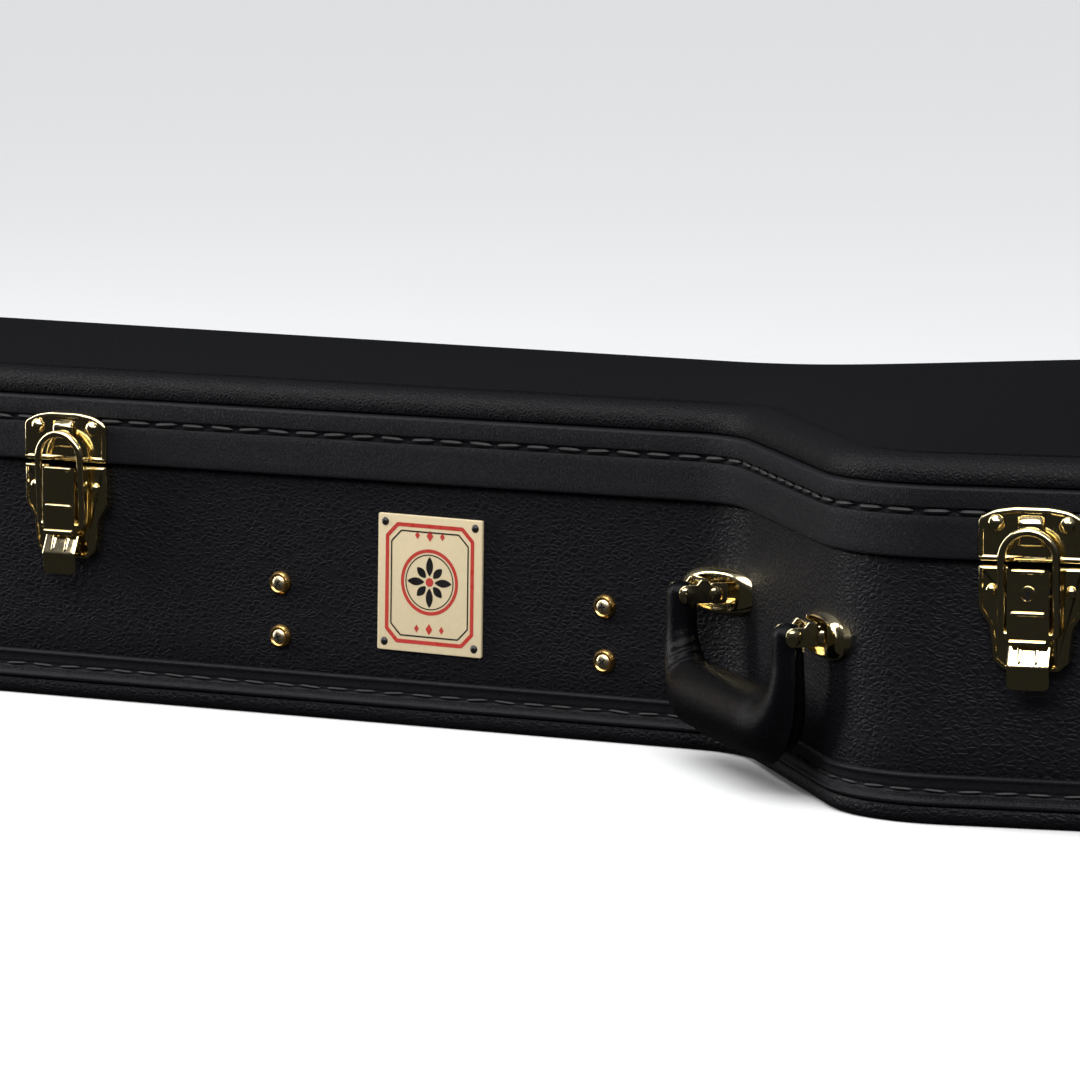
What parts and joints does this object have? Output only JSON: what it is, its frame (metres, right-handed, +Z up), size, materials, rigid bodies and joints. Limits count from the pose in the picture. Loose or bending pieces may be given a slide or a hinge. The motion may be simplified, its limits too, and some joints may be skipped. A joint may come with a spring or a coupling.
{
  "type": "guitar case",
  "caption": "Hard-shell guitar case with arched hinged lid, draw latches, hanging handle, plush lining and an accessory pocket.",
  "frame": {"origin": "on the floor under the case, half-way along it and on its long axis", "axes": "+X from the head end to the tail end, -Y towards the handle side, +Z up from the floor"},
  "size_m": [1.0384, 0.44, 0.147],
  "materials": {
    "pebble_vinyl_on_ply": "black pebble-grain vinyl over plywood",
    "matte_vinyl_on_ply": "fine matte black vinyl over plywood",
    "plywood": "black-stained plywood",
    "ribbed_vinyl_band": "smooth black vinyl strip with a stitched line",
    "black_plush": "short-pile plush over foam and board",
    "black_leatherette": "glossy leatherette, stitched",
    "champagne_plate": "satin champagne-gold plate with enamel ornament",
    "black_pins": "black domed pins",
    "gold_plated_steel": "polished, gold plated"
  },
  "bodies": {
    "base": {"base_floor_lining": "black_plush", "base_inner_board": "plywood", "base_panel": "pebble_vinyl_on_ply", "base_wall": "pebble_vinyl_on_ply", "base_wall_lining": "black_plush", "base_welt": "ribbed_vinyl_band", "body_latch_plate": "gold_plated_steel", "handle_bracket_pins": "gold_plated_steel", "handle_brackets": "gold_plated_steel", "handle_plates": "gold_plated_steel", "hinge_base_leaves": "gold_plated_steel", "hinge_base_rivets": "gold_plated_steel", "hinge_pins": "gold_plated_steel", "latch_base_rivets": "gold_plated_steel", "latch_pivot_pins": "gold_plated_steel", "lock_latch_plate": "gold_plated_steel", "neck_latch_plate": "gold_plated_steel", "plaque": "champagne_plate", "plaque_pins": "black_pins", "pocket_hinge_strip": "black_plush", "pocket_ledges": "black_plush", "pocket_screws": "gold_plated_steel", "pocket_wall_body": "black_plush", "pocket_wall_head": "black_plush", "pocket_washers": "gold_plated_steel", "tail_latch_plate": "gold_plated_steel"},
    "lid": {"body_latch_striker": "gold_plated_steel", "hinge_lid_leaves": "gold_plated_steel", "hinge_lid_rivets": "gold_plated_steel", "latch_lid_rivets": "gold_plated_steel", "lid_band": "ribbed_vinyl_band", "lid_panel": "matte_vinyl_on_ply", "lid_side_lining": "black_plush", "lid_top_lining": "black_plush", "lid_wall": "plywood", "lock_latch_striker": "gold_plated_steel", "neck_latch_striker": "gold_plated_steel", "tail_latch_striker": "gold_plated_steel"},
    "neck_latch_lever": {"neck_latch_lever": "gold_plated_steel"},
    "neck_latch_bail": {"neck_latch_bail": "gold_plated_steel"},
    "lock_latch_lever": {"lock_latch_lever": "gold_plated_steel"},
    "lock_latch_bail": {"lock_latch_bail": "gold_plated_steel"},
    "body_latch_lever": {"body_latch_lever": "gold_plated_steel"},
    "body_latch_bail": {"body_latch_bail": "gold_plated_steel"},
    "tail_latch_lever": {"tail_latch_lever": "gold_plated_steel"},
    "tail_latch_bail": {"tail_latch_bail": "gold_plated_steel"},
    "key_barrel": {"key_barrel": "gold_plated_steel"},
    "handle_links": {"handle_links": "gold_plated_steel", "handle_link_pins": "gold_plated_steel"},
    "handle_grip": {"handle_grip": "black_leatherette"},
    "pocket_flap": {"pocket_flap": "black_plush", "pocket_pull_tab": "black_leatherette"}
  },
  "joints": [
    {"name": "lid_hinge", "type": "hinge", "parent": "base", "child": "lid", "pos_m": [0.05644, 0.16794, 0.09295], "axis": [-0.9876, -0.1569, 0], "range_deg": [0, 100]},
    {"name": "neck_latch_lever_pivot", "type": "hinge", "parent": "base", "child": "neck_latch_lever", "pos_m": [-0.36066, -0.07517, 0.08795], "axis": [-0.9989, -0.0478, 0], "range_deg": [0, 150]},
    {"name": "neck_latch_bail_pivot", "type": "hinge", "parent": "neck_latch_lever", "child": "neck_latch_bail", "pos_m": [-0.36065, -0.07537, 0.06845], "axis": [-0.9989, -0.0478, 0], "range_deg": [-170, 0]},
    {"name": "lock_latch_lever_pivot", "type": "hinge", "parent": "base", "child": "lock_latch_lever", "pos_m": [0.11455, -0.15782, 0.08795], "axis": [-0.9628, -0.2704, 0], "range_deg": [0, 150]},
    {"name": "lock_latch_bail_pivot", "type": "hinge", "parent": "lock_latch_lever", "child": "lock_latch_bail", "pos_m": [0.1146, -0.15802, 0.06845], "axis": [-0.9628, -0.2704, 0], "range_deg": [-170, 0]},
    {"name": "body_latch_lever_pivot", "type": "hinge", "parent": "base", "child": "body_latch_lever", "pos_m": [0.362, -0.2147, 0.08795], "axis": [-1, 0, 0], "range_deg": [0, 150]},
    {"name": "body_latch_bail_pivot", "type": "hinge", "parent": "body_latch_lever", "child": "body_latch_bail", "pos_m": [0.362, -0.2149, 0.06845], "axis": [-1, 0, 0], "range_deg": [-170, 0]},
    {"name": "tail_latch_lever_pivot", "type": "hinge", "parent": "base", "child": "tail_latch_lever", "pos_m": [0.5192, 0, 0.08795], "axis": [0, -1, 0], "range_deg": [0, 150]},
    {"name": "tail_latch_bail_pivot", "type": "hinge", "parent": "tail_latch_lever", "child": "tail_latch_bail", "pos_m": [0.5194, 0, 0.06845], "axis": [0, -1, 0], "range_deg": [-170, 0]},
    {"name": "key_turn", "type": "hinge", "parent": "lock_latch_lever", "child": "key_barrel", "pos_m": [0.11517, -0.16004, 0.08295], "axis": [0.2704, -0.9628, 0], "range_deg": [0, 90]},
    {"name": "handle_link_pivot", "type": "hinge", "parent": "base", "child": "handle_links", "pos_m": [-0.02438, -0.10472, 0.061], "axis": [-0.756, 0.6545, 0], "range_deg": [0, 10]},
    {"name": "handle_swing", "type": "hinge", "parent": "handle_links", "child": "handle_grip", "pos_m": [-0.03158, -0.11304, 0.061], "axis": [-0.756, 0.6545, 0], "range_deg": [-2, 150]},
    {"name": "pocket_flap_hinge", "type": "hinge", "parent": "base", "child": "pocket_flap", "pos_m": [-0.19375, 0.034, 0.044], "axis": [-1, 0, 0], "range_deg": [0, 70]}
  ],
  "couplings": [
    {"joint": "neck_latch_bail_pivot", "follows": "neck_latch_lever_pivot", "ratio": -1.1},
    {"joint": "lock_latch_bail_pivot", "follows": "lock_latch_lever_pivot", "ratio": -1.1},
    {"joint": "body_latch_bail_pivot", "follows": "body_latch_lever_pivot", "ratio": -1.1},
    {"joint": "tail_latch_bail_pivot", "follows": "tail_latch_lever_pivot", "ratio": -1.1}
  ]
}
